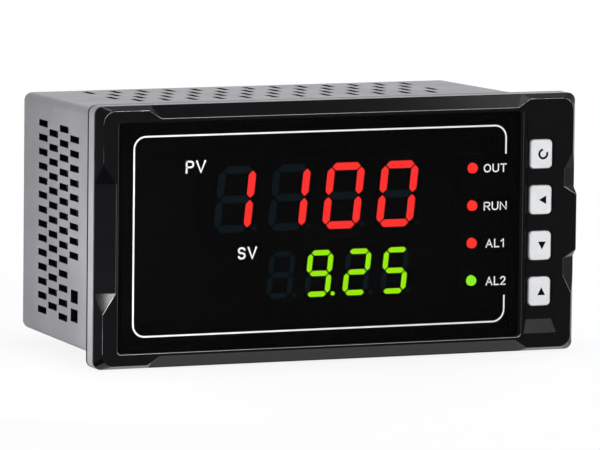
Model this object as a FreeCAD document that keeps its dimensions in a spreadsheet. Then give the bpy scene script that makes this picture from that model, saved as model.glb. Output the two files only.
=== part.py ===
import FreeCAD, Part
import math
import os
import re
import Sketcher

# Panel indicator in the 160 x 80 mm format, in millimetres. Seen from the front, +X is right and +Z is up.
# +Y runs back through the panel, and Y = 0 is the rear face of the flange, which meets the panel.
# A depth called "front" counts towards the viewer, so a front of 5 lies at Y = -5.

sizes = {
    # Outline and sleeve
    "bezel_width": 160.0,
    "bezel_height": 80.0,
    "bezel_corner": 2.5,
    "flange_depth": 5.0,
    "gasket_thickness": 1.0,
    "gasket_inset": 0.2,
    "gasket_clearance": 0.15,
    "overhang_side": 4.8,
    "overhang_top": 2.3,
    "case_depth": 75.0,
    "case_draft_side": 3.0,
    "case_draft_top": 0.7,
    "case_wall": 2.2,
    "case_corner": 2.5,
    "cover_corner": 1.0,
    # Vents and bracket hooks of the sleeve
    "slot_length": 8.2,
    "slot_width": 2.1,
    "slot_column_pitch": 9.75,
    "side_slot_start": 25.5,
    "side_slot_pitch": 4.47,
    "side_slot_rows": 14,
    "hook_column_rows": 9,
    "top_slot_start": 35.25,
    "top_slot_pitch": 9.0,
    "top_slot_count": 13,
    "hook_slot_length": 6.7,
    "hook_slot_height": 4.0,
    "hook_slot_pitch": 5.85,
    "hook_slot_level": 27.3,
    # Relief of the bezel
    "seam_gap": 0.5,
    "seam_inset": 0.7,
    "rim_height": 0.5,
    "slope_rise": 2.7,
    "slope_run_side": 1.7,
    "slope_run_top": 1.2,
    "plateau_corner": 4.0,
    "slope_land": 0.2,
    "edge_round": 0.3,
    "notch_inset": 3.9,
    "notch_half_inner": 59.3,
    "notch_half_outer": 65.4,
    "notch_half_rim": 61.7,
    "scoop_inset_left": 6.0,
    "scoop_inset_right": 4.6,
    "scoop_half_inner": 16.6,
    "scoop_half_outer": 25.6,
    "tab_half_inner": 11.2,
    "tab_half_outer": 8.4,
    "tongue_thickness": 1.6,
    "tongue_depth": 8.0,
    "tongue_clearance": 0.3,
    # Window
    "window_margin_left": 7.0,
    "window_margin_right": 19.6,
    "window_margin_top": 5.0,
    "window_corner": 1.0,
    "window_clearance": 0.1,
    "window_recess": 0.4,
    "window_thickness": 2.0,
    "window_ledge": 2.0,
    # Keys, their channel and their switches
    "key_inset": 12.2,
    "key_pitch": 14.25,
    "key_width": 7.4,
    "key_height": 9.0,
    "key_corner": 1.4,
    "key_round": 0.6,
    "key_rise": 0.8,
    "key_clearance": 0.25,
    "key_lug": 0.9,
    "key_lug_thickness": 1.0,
    "key_lug_gap": 0.1,
    "key_travel": 0.5,
    "channel_half_width": 5.55,
    "channel_floor_half": 4.3,
    "channel_end_margin": 5.7,
    "channel_end_run": 4.2,
    "channel_depth": 1.3,
    "switch_width": 6.0,
    "switch_depth": 3.5,
    "plunger_radius": 1.7,
    "plunger_rise": 1.4,
    "plunger_seat": 0.6,
    "plunger_clearance": 0.15,
    # Digits and lamps
    "segment_air": 0.4,
    "segment_thickness": 0.25,
    "segment_gap": 0.25,
    "digit_slant": 6.0,
    "display_depth": 8.0,
    "display_border": 2.9,
    "pv_offset": -0.65,
    "pv_level": 10.4,
    "pv_digit_height": 20.6,
    "pv_digit_width": 12.6,
    "pv_digit_pitch": 18.05,
    "pv_stroke": 2.6,
    "sv_offset": 6.8,
    "sv_level": -13.3,
    "sv_digit_height": 14.6,
    "sv_digit_width": 8.7,
    "sv_digit_pitch": 12.7,
    "sv_stroke": 1.9,
    "point_radius": 0.8,
    "lamp_inset": 14.2,
    "lamp_level": -0.2,
    "lamp_pitch": 11.65,
    "lamp_radius": 1.6,
    "lamp_collar": 0.4,
    "lamp_collar_depth": 1.0,
    "lamp_length": 5.3,
    "lamp_air": 0.5,
    "lamp_clearance": 0.15,
    "lamp_holder_border": 2.6,
    "lead_width": 0.5,
    "lead_pitch": 2.54,
    # Boards
    "board_thickness": 1.6,
    "board_clearance": 0.5,
    "board_boss_radius": 3.2,
    "board_boss_half_span": 62.0,
    "board_screw_radius": 1.2,
    "board_screw_length": 6.0,
    "board_screw_head_radius": 2.2,
    "board_screw_head": 1.5,
    "screw_clearance": 0.2,
    "main_board_wall_gap": 5.7,
    "main_board_end_gap": 0.6,
    "header_half_length": 20.0,
    "header_reach": 6.0,
    "header_overlap": 4.0,
    "header_height": 2.6,
    # Parts on the boards
    "transformer_inset": 27.0,
    "transformer_y": 36.0,
    "core_width": 35.0,
    "core_height": 29.5,
    "core_stack": 15.0,
    "core_leg": 11.6,
    "core_window": 5.8,
    "core_yoke": 6.0,
    "coil_overhang": 5.0,
    "coil_clearance": 0.3,
    "bulk_spacing": 42.0,
    "bulk_y": 30.0,
    "bulk_radius": 8.0,
    "bulk_height": 25.0,
    "filter_inset": 35.0,
    "filter_y": 40.0,
    "filter_pitch": 11.0,
    "filter_count": 3,
    "filter_radius": 4.0,
    "filter_height": 12.0,
    "relay_inset": 23.0,
    "relay_y": 44.0,
    "relay_pitch": 24.0,
    "relay_count": 3,
    "relay_length": 19.0,
    "relay_width": 15.4,
    "relay_height": 15.5,
    "chip_inset": 19.0,
    "chip_y": 34.0,
    "chip_width": 12.0,
    "chip_height": 1.6,
    # Rear cover and terminals
    "cover_thickness": 2.5,
    "cover_clearance": 0.2,
    "cover_boss_radius": 3.8,
    "cover_boss_reach": 2.6,
    "cover_boss_length": 12.0,
    "cover_screw_radius": 1.4,
    "cover_screw_length": 10.0,
    "cover_screw_head_radius": 2.6,
    "cover_screw_head": 1.8,
    "terminal_count": 12,
    "terminal_pitch": 10.0,
    "terminal_rib": 1.4,
    "terminal_height": 15.0,
    "terminal_inside": 10.0,
    "terminal_stand": 8.5,
    "terminal_floor": 2.2,
    "terminal_well": 5.5,
    "terminal_clearance": 0.3,
    "clamp_gap": 0.4,
    "clamp_thickness": 1.0,
    "terminal_screw_radius": 1.5,
    "terminal_screw_length": 7.0,
    "terminal_screw_head_radius": 3.0,
    "terminal_screw_head": 2.2,
    "recess_half_length": 1.7,
    "recess_half_width": 0.4,
    "recess_depth": 1.1,
}

doc = FreeCAD.newDocument("panel_indicator")
sheet = doc.addObject("Spreadsheet::Sheet", "dims")
for row, (name, value) in enumerate(sizes.items(), start=1):
    sheet.set("A%d" % row, name)
    sheet.set("B%d" % row, str(value))
    sheet.setAlias("B%d" % row, name)
doc.recompute()

# Places that several pieces share, as formulas of the sizes
rim_front = "(flange_depth + seam_gap + rim_height)"
plateau = "(flange_depth + seam_gap + rim_height + slope_rise)"
half_width = "(bezel_width / 2)"
half_height = "(bezel_height / 2)"
case_half_width = "(bezel_width / 2 - overhang_side)"
case_half_height = "(bezel_height / 2 - overhang_top)"
rear_half_width = "(bezel_width / 2 - overhang_side - case_draft_side)"
rear_half_height = "(bezel_height / 2 - overhang_top - case_draft_top)"
window_left = "(window_margin_left - bezel_width / 2)"
window_right = "(bezel_width / 2 - window_margin_right)"
window_half_height = "(bezel_height / 2 - window_margin_top)"
window_middle = "((window_margin_left - window_margin_right) / 2)"
window_back = f"({plateau} - window_recess - window_thickness)"
segment_back = f"({window_back} - segment_air - segment_thickness)"
board_front = f"({segment_back} - display_depth)"
board_back = f"({board_front} - board_thickness)"
tongue_outer = f"({case_half_height} - case_wall - tongue_clearance)"
tongue_inner = f"({tongue_outer} - tongue_thickness)"
boss_level = f"({tongue_inner} - board_boss_radius + tongue_thickness / 3)"
key_x = "(bezel_width / 2 - key_inset)"
channel_floor = f"({plateau} - channel_depth)"
lug_front = "(flange_depth - key_lug_gap)"
switch_front = f"({board_front} + switch_depth)"
plunger_tip = f"({switch_front} + plunger_rise)"
lamp_x = f"({window_right} - lamp_inset)"
board_face = f"({rear_half_height} - case_wall - main_board_wall_gap - board_thickness)"
cover_front = "(case_depth - cover_thickness)"
cover_boss_x = f"({rear_half_width} - case_wall - cover_boss_reach)"
cover_boss_z = f"({rear_half_height} - case_wall - cover_boss_reach)"
main_board_half = f"({cover_boss_x} - cover_boss_radius - board_clearance)"
transformer_x = f"(transformer_inset - {main_board_half})"
bulk_x = f"({transformer_x} + bulk_spacing)"
filter_x = f"({main_board_half} - filter_inset)"
relay_x = f"(relay_inset - {main_board_half})"
chip_x = f"({main_board_half} - chip_inset)"
terminal_rear = "(case_depth + terminal_stand)"
terminal_half_length = "(terminal_count * terminal_pitch / 2 + terminal_rib / 2)"
first_terminal = "((1 - terminal_count) * terminal_pitch / 2)"
well_floor = f"({terminal_rear} - terminal_well)"

corner_signs = ((-1, -1), (1, -1), (1, 1), (-1, 1))
parts = []


def formula(text):
    # A size's name in a formula is read from the sheet
    return re.sub(r"[a-z_]+", lambda word: "dims." + word[0] if word[0] in sizes else word[0], str(text))


def number(text):
    return float(sheet.evalExpression(formula(text)))


def bind(thing, place, text):
    thing.setExpression(place, formula(text))


def keep(piece, label):
    piece.Label = label
    parts.append(piece)
    return piece


# Sketches: every coordinate is held by a constraint that is bound to the sheet

def new_body(label):
    body = keep(doc.addObject("PartDesign::Body", label), label)
    body.AllowCompound = True
    return body


def new_sketch(body, name, plane, offset):
    sketch = body.newObject("Sketcher::SketchObject", body.Name + "_" + name)
    support = [feature for feature in body.Origin.OriginFeatures if feature.Role == plane][0]
    sketch.AttachmentSupport = [(support, "")]
    sketch.MapMode = "FlatFace"
    bind(sketch, "AttachmentOffset.Base.z", offset)
    return sketch


def front_sketch(body, name, front):
    return new_sketch(body, name, "XZ_Plane", front)


def hold(sketch, kind, *place, value):
    index = sketch.addConstraint(Sketcher.Constraint(kind, *place, number(value)))
    bind(sketch, "Constraints[%d]" % index, value)


def hold_point(sketch, curve, point, x, y):
    hold(sketch, "DistanceX", -1, 1, curve, point, value=x)
    hold(sketch, "DistanceY", -1, 1, curve, point, value=y)


def polygon(sketch, corners):
    start = sketch.GeometryCount
    count = len(corners)
    spots = [FreeCAD.Vector(number(x), number(y), 0) for x, y in corners]
    for i in range(count):
        sketch.addGeometry(Part.LineSegment(spots[i], spots[(i + 1) % count]), False)
    for i in range(count):
        sketch.addConstraint(Sketcher.Constraint("Coincident", start + i, 2, start + (i + 1) % count, 1))
    for i, (x, y) in enumerate(corners):
        hold_point(sketch, start + i, 1, x, y)


def rectangle(sketch, left, right, low, high):
    polygon(sketch, [(left, low), (right, low), (right, high), (left, high)])


def rounded_rectangle(sketch, left, right, low, high, radius):
    start = sketch.GeometryCount
    bend = number(radius)
    centres = []
    for across, up in corner_signs:
        x = f"{right} - {radius}" if across > 0 else f"{left} + {radius}"
        y = f"{high} - {radius}" if up > 0 else f"{low} + {radius}"
        centres.append((x, y))
    middles = [FreeCAD.Vector(number(x), number(y), 0) for x, y in centres]
    upright = FreeCAD.Vector(0, 0, 1)
    for i, middle in enumerate(middles):
        turn = math.radians(180 + 90 * i)
        circle_line = Part.Circle(middle, upright, bend)
        sketch.addGeometry(Part.ArcOfCircle(circle_line, turn, turn + math.pi / 2), False)
    for i in range(4):
        leave = math.radians(270 + 90 * i)
        step = FreeCAD.Vector(math.cos(leave), math.sin(leave), 0) * bend
        sketch.addGeometry(Part.LineSegment(middles[i] + step, middles[(i + 1) % 4] + step), False)
    for i in range(4):
        sketch.addConstraint(Sketcher.Constraint("Tangent", start + i, 2, start + 4 + i, 1))
        sketch.addConstraint(Sketcher.Constraint("Tangent", start + 4 + i, 2, start + (i + 1) % 4, 1))
    for i, (x, y) in enumerate(centres):
        hold_point(sketch, start + i, 3, x, y)
        hold(sketch, "Radius", start + i, value=radius)


def circle(sketch, x, y, radius):
    start = sketch.GeometryCount
    middle = FreeCAD.Vector(number(x), number(y), 0)
    sketch.addGeometry(Part.Circle(middle, FreeCAD.Vector(0, 0, 1), number(radius)), False)
    hold_point(sketch, start, 3, x, y)
    hold(sketch, "Radius", start, value=radius)


def cross(sketch, x, y, long, half):
    corners = []
    for across, up in corner_signs:
        ends = [(half, long), (half, half), (long, half)]
        if across * up < 0:
            ends.reverse()
        corners += [(f"{x} + {across} * {a}", f"{y} + {up} * {b}") for a, b in ends]
    polygon(sketch, corners)


# Features

def pad(body, sketch, length, reverse=False):
    feature = body.newObject("PartDesign::Pad", sketch.Name + "_pad")
    feature.Profile = sketch
    feature.Reversed = reverse
    bind(feature, "Length", length)
    return feature


def pocket(body, sketch, length, reverse=False, both_ways=False):
    feature = body.newObject("PartDesign::Pocket", sketch.Name + "_pocket")
    feature.Profile = sketch
    feature.Reversed = reverse
    if both_ways:
        feature.SideType = "Symmetric"
        feature.Refine = False
    bind(feature, "Length", length)
    return feature


def loft(body, kind, first, second):
    feature = body.newObject("PartDesign::" + kind, first.Name + "_loft")
    feature.Profile = first
    feature.Sections = [second]
    feature.Ruled = True
    return feature


def wedge(body, kind, near, far):
    # A drafted block between two places on Y, each given with its half width and half height
    feature = body.newObject("PartDesign::" + kind, body.Name + "_" + kind)
    for end, mark in ((near, ""), (far, "2")):
        place, wide, tall = end
        bind(feature, "Ymax" if mark else "Ymin", place)
        bind(feature, f"X{mark}min", f"-{wide}")
        bind(feature, f"X{mark}max", wide)
        bind(feature, f"Z{mark}min", f"-{tall}")
        bind(feature, f"Z{mark}max", tall)
    return feature


def repeat(body, features, sketch, axis, count, pitch):
    # Copies features along the sketch's own H_Axis or V_Axis
    doc.recompute()
    pattern = body.newObject("PartDesign::LinearPattern", sketch.Name + "_row")
    pattern.Originals = features
    pattern.Direction = (sketch, [axis])
    pattern.Mode = "Spacing"
    pattern.Refine = False
    bind(pattern, "Offset", pitch)
    bind(pattern, "Occurrences", count)
    body.Tip = pattern
    return pattern


def fillet(body, radius, chosen):
    # Rounds the edges of the body's last feature that the test picks
    doc.recompute()
    base = body.Tip
    picked = ["Edge%d" % (i + 1) for i, edge in enumerate(base.Shape.Edges) if chosen(edge)]
    feature = body.newObject("PartDesign::Fillet", base.Name + "_round")
    feature.Base = (base, picked)
    bind(feature, "Radius", radius)
    return feature


def block(label, x, y, z):
    # Part box between two places on each axis
    solid = doc.addObject("Part::Box", label)
    for axis, side, (low, high) in (("x", "Length", x), ("y", "Width", y), ("z", "Height", z)):
        bind(solid, "Placement.Base." + axis, low)
        bind(solid, side, f"({high}) - ({low})")
    return solid


def post(label, x, y, z, radius, height, kind="Cylinder", direction=(0, 0, 1)):
    # Part cylinder that stands on a place and runs in a direction
    solid = doc.addObject("Part::" + kind, label)
    turn = FreeCAD.Rotation(FreeCAD.Vector(0, 0, 1), FreeCAD.Vector(*direction))
    solid.Placement = FreeCAD.Placement(FreeCAD.Vector(), turn)
    for axis, place in (("x", x), ("y", y), ("z", z)):
        bind(solid, "Placement.Base." + axis, place)
    bind(solid, "Radius", radius)
    if height is not None:
        bind(solid, "Height", height)
    return solid


def joined(kind, label, members):
    whole = doc.addObject("Part::" + kind, label)
    if kind == "Cut":
        whole.Base, whole.Tool = members
    elif kind == "Compound":
        whole.Links = members
    else:
        whole.Shapes = members
    return whole


# Sleeve: a drafted tube with its flange, vents on four sides and the hook slots of the panel brackets

def make_case():
    body = new_body("rear_case")
    wedge(body, "AdditiveWedge", ("-gasket_thickness", case_half_width, case_half_height),
          ("case_depth", rear_half_width, rear_half_height))
    fillet(body, "case_corner", lambda edge: edge.BoundBox.YMax > 0.001)

    flange = front_sketch(body, "flange", "gasket_thickness")
    rounded_rectangle(flange, f"-{half_width}", half_width, f"-{half_height}", half_height, "bezel_corner")
    pad(body, flange, "flange_depth - gasket_thickness")

    wedge(body, "SubtractiveWedge",
          ("-flange_depth", f"({case_half_width} - case_wall)", f"({case_half_height} - case_wall)"),
          ("case_depth", f"({rear_half_width} - case_wall)", f"({rear_half_height} - case_wall)"))

    bosses = front_sketch(body, "cover_bosses", f"-{cover_front}")
    bores = front_sketch(body, "cover_bores", f"-{cover_front}")
    for across, up in corner_signs:
        x = f"{across} * {cover_boss_x}"
        z = f"{up} * {cover_boss_z}"
        circle(bosses, x, z, "cover_boss_radius")
        circle(bores, x, z, "cover_screw_radius + screw_clearance")
    pad(body, bosses, "cover_boss_length")
    pocket(body, bores, "cover_screw_length", reverse=True)

    make_side_vents(body)
    make_top_vents(body)
    make_hook_slots(body)


def vent(sketch, x, y, long, tall):
    rectangle(sketch, f"{x} - {long} / 2", f"{x} + {long} / 2", f"{y} - {tall} / 2", f"{y} + {tall} / 2")


def make_side_vents(body):
    # Every other column is set half a pitch lower, and the first one leaves room for the hook slots
    first_row = "(1 - side_slot_rows) * side_slot_pitch / 2"
    short_row = "((side_slot_rows - 2) / 2 - hook_column_rows + 1) * side_slot_pitch"
    columns = (("side_vents", (1, 3), first_row, "side_slot_rows"),
               ("side_vents_between", (2,), f"{first_row} + side_slot_pitch / 2", "side_slot_rows - 1"),
               ("side_vents_short", (0,), short_row, "hook_column_rows"))
    for name, places, z, count in columns:
        sketch = new_sketch(body, name, "YZ_Plane", "0")
        for place in places:
            vent(sketch, f"side_slot_start + {place} * slot_column_pitch", z, "slot_length", "slot_width")
        cut = pocket(body, sketch, "2 * bezel_width", both_ways=True)
        repeat(body, [cut], sketch, "V_Axis", count, "side_slot_pitch")


def make_top_vents(body):
    rows = (("top_vents", (0, 2), "top_slot_count - 1"), ("top_vents_between", (1, 3), "top_slot_count"))
    for name, places, count in rows:
        x = f"(1 - ({count})) * top_slot_pitch / 2"
        sketch = new_sketch(body, name, "XY_Plane", "0")
        for place in places:
            vent(sketch, x, f"top_slot_start + {place} * slot_column_pitch", "slot_width", "slot_length")
        cut = pocket(body, sketch, "2 * bezel_height", both_ways=True)
        repeat(body, [cut], sketch, "H_Axis", count, "top_slot_pitch")


def make_hook_slots(body):
    sketch = new_sketch(body, "hook_slots", "YZ_Plane", "0")
    y = "side_slot_start - slot_length / 2 + hook_slot_length / 2"
    for place in (0, 1):
        z = f"{place} * hook_slot_pitch - hook_slot_level"
        vent(sketch, y, z, "hook_slot_length", "hook_slot_height")
    pocket(body, sketch, "2 * bezel_width", both_ways=True)


def make_gasket():
    # Rubber seal between the flange and the panel, a ring round the sleeve
    body = new_body("panel_gasket")
    ring = front_sketch(body, "ring", "0")
    wide = f"({half_width} - gasket_inset)"
    tall = f"({half_height} - gasket_inset)"
    rounded_rectangle(ring, f"-{wide}", wide, f"-{tall}", tall, "bezel_corner")
    wide = f"({case_half_width} + gasket_clearance)"
    tall = f"({case_half_height} + gasket_clearance)"
    rounded_rectangle(ring, f"-{wide}", wide, f"-{tall}", tall, "case_corner")
    pad(body, ring, "gasket_thickness")


# Bezel: a raised plateau with narrow slopes, wide notches above and below, a finger scoop on each side

def make_bezel():
    body = new_body("front_bezel")
    neck = front_sketch(body, "neck", "flange_depth")
    wide = f"({half_width} - seam_inset)"
    tall = f"({half_height} - seam_inset)"
    rounded_rectangle(neck, f"-{wide}", wide, f"-{tall}", tall, "bezel_corner")
    pad(body, neck, "seam_gap")
    rim = front_sketch(body, "rim", "flange_depth + seam_gap")
    rounded_rectangle(rim, f"-{half_width}", half_width, f"-{half_height}", half_height, "bezel_corner")
    pad(body, rim, "rim_height")

    foot = front_sketch(body, "foot", rim_front)
    rounded_rectangle(foot, f"-{half_width}", half_width, f"-{half_height}", half_height, "bezel_corner")
    top = front_sketch(body, "plateau", plateau)
    wide = f"({half_width} - slope_run_side)"
    tall = f"({half_height} - slope_run_top)"
    rounded_rectangle(top, f"-{wide}", wide, f"-{tall}", tall, "plateau_corner")
    loft(body, "AdditiveLoft", foot, top)
    tab = front_sketch(body, "tab", rim_front)
    rectangle(tab, f"{half_width} - scoop_inset_right", f"{half_width} - slope_land",
              "-tab_half_inner", "tab_half_inner")
    pad(body, tab, "slope_rise")

    make_bezel_rear(body)
    fillet(body, "edge_round", straight_on_plateau(("0", "0"), (half_width, half_height)))

    make_notches(body)
    make_scoops(body)
    make_window_seat(body)
    make_key_channel(body)
    field = (f"{key_x} + channel_half_width + edge_round", f"{window_half_height} + 2 * edge_round")
    fillet(body, "edge_round", straight_on_plateau(field, (f"{wide} - edge_round", f"{tall} - edge_round")))


def straight_on_plateau(inner, outer):
    # Picks straight edges with their middles between two fields; a round rides on over the tangent corners
    near_x, near_z, far_x, far_z = [number(limit) for limit in (*inner, *outer)]

    def chosen(edge):
        box = edge.BoundBox
        x = abs(box.Center.x)
        z = abs(box.Center.z)
        level = box.YMax < 0.001 - number(plateau) and edge.Curve.TypeId == "Part::GeomLine"
        return level and (x > near_x or z > near_z) and x < far_x and z < far_z

    return chosen


def sloped_cut(body, name, front_corners, rim_corners):
    # Takes away the space between an outline on the plateau and one on the rim, both running past the edge
    outer = front_sketch(body, name + "_front", plateau)
    polygon(outer, front_corners)
    inner = front_sketch(body, name + "_rim", rim_front)
    polygon(inner, rim_corners)
    loft(body, "SubtractiveLoft", outer, inner)


def make_notches(body):
    # The ends of a notch run outwards at the same slope on the plateau and on the rim
    splay = "((notch_half_outer - notch_half_inner) / notch_inset)"
    past = "slope_rise"
    for name, side in (("notch_top", 1), ("notch_bottom", -1)):
        outer_z = f"{side} * ({half_height} + {past})"
        inner_z = f"{side} * ({half_height} - notch_inset)"
        rim_z = f"{side} * ({half_height} - slope_land)"
        wide = f"(notch_half_inner + {splay} * (notch_inset + {past}))"
        rim_wide = f"(notch_half_rim + {splay} * (slope_land + {past}))"
        sloped_cut(body, name,
                   [(f"-{wide}", outer_z), ("-notch_half_inner", inner_z), ("notch_half_inner", inner_z),
                    (wide, outer_z)],
                   [(f"-{rim_wide}", outer_z), ("-notch_half_rim", rim_z), ("notch_half_rim", rim_z),
                    (rim_wide, outer_z)])


def make_scoops(body):
    past = "slope_rise"
    splay = "((scoop_half_outer - scoop_half_inner) / scoop_inset_left)"
    tall = f"(scoop_half_inner + {splay} * (scoop_inset_left + {past}))"
    rim_tall = f"(scoop_half_inner + {splay} * (slope_land + {past}))"
    outer_x = f"-{half_width} - {past}"
    inner_x = f"scoop_inset_left - {half_width}"
    rim_x = f"slope_land - {half_width}"
    sloped_cut(body, "scoop_left",
               [(outer_x, f"-{tall}"), (inner_x, "-scoop_half_inner"), (inner_x, "scoop_half_inner"),
                (outer_x, tall)],
               [(outer_x, f"-{rim_tall}"), (rim_x, "-scoop_half_inner"), (rim_x, "scoop_half_inner"),
                (outer_x, rim_tall)])

    # The right scoop is in two halves, with the tab of the plateau left between them
    splay = "((scoop_half_outer - scoop_half_inner) / scoop_inset_right)"
    narrow = "((tab_half_inner - tab_half_outer) / scoop_inset_right)"
    outer_x = f"{half_width} + {past}"
    inner_x = f"{half_width} - scoop_inset_right"
    rim_x = f"{half_width} - slope_land"
    front_reach = f"(scoop_inset_right + {past})"
    rim_reach = f"(slope_land + {past})"
    for name, side in (("scoop_right_upper", 1), ("scoop_right_lower", -1)):
        outlines = []
        for x, reach in ((inner_x, front_reach), (rim_x, rim_reach)):
            outlines.append([(outer_x, f"{side} * (tab_half_inner - {narrow} * {reach})"),
                             (x, f"{side} * tab_half_inner"),
                             (x, f"{side} * scoop_half_inner"),
                             (outer_x, f"{side} * (scoop_half_inner + {splay} * {reach})")])
        sloped_cut(body, name, outlines[0], outlines[1])


def make_window_seat(body):
    # The seat opens with a fine chamfer, like the rounds on the other edges
    mouth = front_sketch(body, "window_mouth", plateau)
    tall = f"({window_half_height} + edge_round)"
    rounded_rectangle(mouth, f"{window_left} - edge_round", f"{window_right} + edge_round", f"-{tall}", tall,
                      "window_corner + edge_round")
    throat = front_sketch(body, "window_throat", f"{plateau} - edge_round")
    rounded_rectangle(throat, window_left, window_right, f"-{window_half_height}", window_half_height,
                      "window_corner")
    loft(body, "SubtractiveLoft", mouth, throat)
    seat = front_sketch(body, "window_seat", plateau)
    rounded_rectangle(seat, window_left, window_right, f"-{window_half_height}", window_half_height,
                      "window_corner")
    pocket(body, seat, "window_recess + window_thickness")
    view = front_sketch(body, "window_view", plateau)
    tall = f"({window_half_height} - window_ledge)"
    rectangle(view, f"{window_left} + window_ledge", f"{window_right} - window_ledge", f"-{tall}", tall)
    pocket(body, view, f"{plateau} - flange_depth + seam_gap")


def make_key_channel(body):
    mouth = front_sketch(body, "channel_mouth", plateau)
    long = f"({half_height} - channel_end_margin)"
    rectangle(mouth, f"{key_x} - channel_half_width", f"{key_x} + channel_half_width", f"-{long}", long)
    floor = front_sketch(body, "channel_floor", channel_floor)
    short = f"({half_height} - channel_end_margin - channel_end_run)"
    rectangle(floor, f"{key_x} - channel_floor_half", f"{key_x} + channel_floor_half", f"-{short}", short)
    loft(body, "SubtractiveLoft", mouth, floor)

    holes = front_sketch(body, "key_holes", plateau)
    wide = "(key_width / 2 + key_clearance)"
    tall = "(key_height / 2 + key_clearance)"
    for i in range(4):
        z = f"key_pitch * {1.5 - i}"
        rounded_rectangle(holes, f"{key_x} - {wide}", f"{key_x} + {wide}", f"{z} - {tall}", f"{z} + {tall}",
                          "key_corner")
    pocket(body, holes, f"{plateau} - flange_depth + seam_gap")


def make_bezel_rear(body):
    # Tongues locate the bezel in the sleeve, and four bosses on them carry the display board
    tongues = front_sketch(body, "tongues", "flange_depth")
    for side in (1, -1):
        ends = sorted((f"{side} * {tongue_inner}", f"{side} * {tongue_outer}"), key=number)
        wide = "(board_boss_half_span + board_boss_radius)"
        rectangle(tongues, f"-{wide}", wide, ends[0], ends[1])
    pad(body, tongues, "tongue_depth + flange_depth", reverse=True)
    bosses = front_sketch(body, "board_bosses", "flange_depth")
    bores = front_sketch(body, "board_bores", board_front)
    for across, up in corner_signs:
        x = f"{across} * board_boss_half_span"
        z = f"{up} * {boss_level}"
        circle(bosses, x, z, "board_boss_radius")
        circle(bores, x, z, "board_screw_radius + screw_clearance")
    pad(body, bosses, f"flange_depth - {board_front}", reverse=True)
    pocket(body, bores, "board_screw_length", reverse=True)


def make_window():
    body = new_body("display_window")
    plate = front_sketch(body, "plate", window_back)
    tall = f"({window_half_height} - window_clearance)"
    rounded_rectangle(plate, f"{window_left} + window_clearance", f"{window_right} - window_clearance",
                      f"-{tall}", tall, "window_corner")
    pad(body, plate, "window_thickness")


# Keys: a cap with lugs behind the bezel and a stem on the plunger of its switch

def make_keys():
    bodies = []
    for i, name in enumerate(("cycle", "left", "down", "up")):
        z = f"key_pitch * {1.5 - i}"
        cap = new_body("key_" + name)
        face = front_sketch(cap, "cap", lug_front)
        rounded_rectangle(face, f"{key_x} - key_width / 2", f"{key_x} + key_width / 2",
                          f"{z} - key_height / 2", f"{z} + key_height / 2", "key_corner")
        pad(cap, face, f"{channel_floor} + key_rise - {lug_front}")
        tip = -number(f"{channel_floor} + key_rise")
        fillet(cap, "key_round", lambda edge: edge.BoundBox.YMax < tip + 0.001)
        lugs = front_sketch(cap, "lugs", lug_front)
        rectangle(lugs, f"{key_x} - key_width / 2 + key_corner", f"{key_x} + key_width / 2 - key_corner",
                  f"{z} - key_height / 2 - key_clearance - key_lug",
                  f"{z} + key_height / 2 + key_clearance + key_lug")
        pad(cap, lugs, "key_lug_thickness", reverse=True)
        stem = front_sketch(cap, "stem", plunger_tip)
        circle(stem, key_x, z, "plunger_radius")
        pad(cap, stem, f"{lug_front} - key_lug_thickness - {plunger_tip}")

        keep(post("plunger_" + name, key_x, f"-{plunger_tip}", z, "plunger_radius",
                  "plunger_rise + plunger_seat", direction=(0, 1, 0)), "plunger_" + name)

        shell = block("switch_shell_" + name,
                      (f"{key_x} - switch_width / 2", f"{key_x} + switch_width / 2"),
                      (f"-{switch_front}", f"-{board_front}"),
                      (f"{z} - switch_width / 2", f"{z} + switch_width / 2"))
        well = post("switch_well_" + name, key_x, f"-{switch_front} - plunger_seat", z,
                    "plunger_radius + plunger_clearance",
                    "2 * plunger_seat + key_travel + plunger_clearance", direction=(0, 1, 0))
        bodies.append(joined("Cut", "switch_" + name, (shell, well)))
    keep(joined("Compound", "key_switches", bodies), "key_switches")


# Digits: slanted seven-segment figures whose cast light windows lie on the face of each module

segment_ends = {
    "a": ((-1, 1), (1, 1)),
    "b": ((1, 1), (1, 0)),
    "c": ((1, 0), (1, -1)),
    "d": ((-1, -1), (1, -1)),
    "e": ((-1, 0), (-1, -1)),
    "f": ((-1, 1), (-1, 0)),
    "g": ((-1, 0), (1, 0)),
}
figure_segments = {" ": "", "0": "abcdef", "1": "bc", "2": "abdeg", "5": "acdfg", "9": "abcdfg"}


def segment_solid(start, end, stroke, lean, place):
    # A bar with pointed ends between two corners of the figure, cut short by half the segment gap
    along = (end - start).normalize()
    across = FreeCAD.Vector(-along.y, along.x, 0)
    tip = number("segment_gap") / 2
    shoulder = tip + stroke / 2
    flat = [start + along * tip]
    flat.append(start + along * shoulder + across * stroke / 2)
    flat.append(end - along * shoulder + across * stroke / 2)
    flat.append(end - along * tip)
    flat.append(end - along * shoulder - across * stroke / 2)
    flat.append(start + along * shoulder - across * stroke / 2)
    spots = [place + FreeCAD.Vector(spot.x + spot.y * lean, 0, spot.y) for spot in flat]
    face = Part.Face(Part.makePolygon(spots + spots[:1]))
    return face.extrude(FreeCAD.Vector(0, -number("segment_thickness"), 0))


def point_solid(corner, lean, place, radius):
    spot = place + FreeCAD.Vector(corner.x + corner.y * lean, 0, corner.y)
    return Part.makeCylinder(radius, number("segment_thickness"), spot, FreeCAD.Vector(0, -1, 0))


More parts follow.
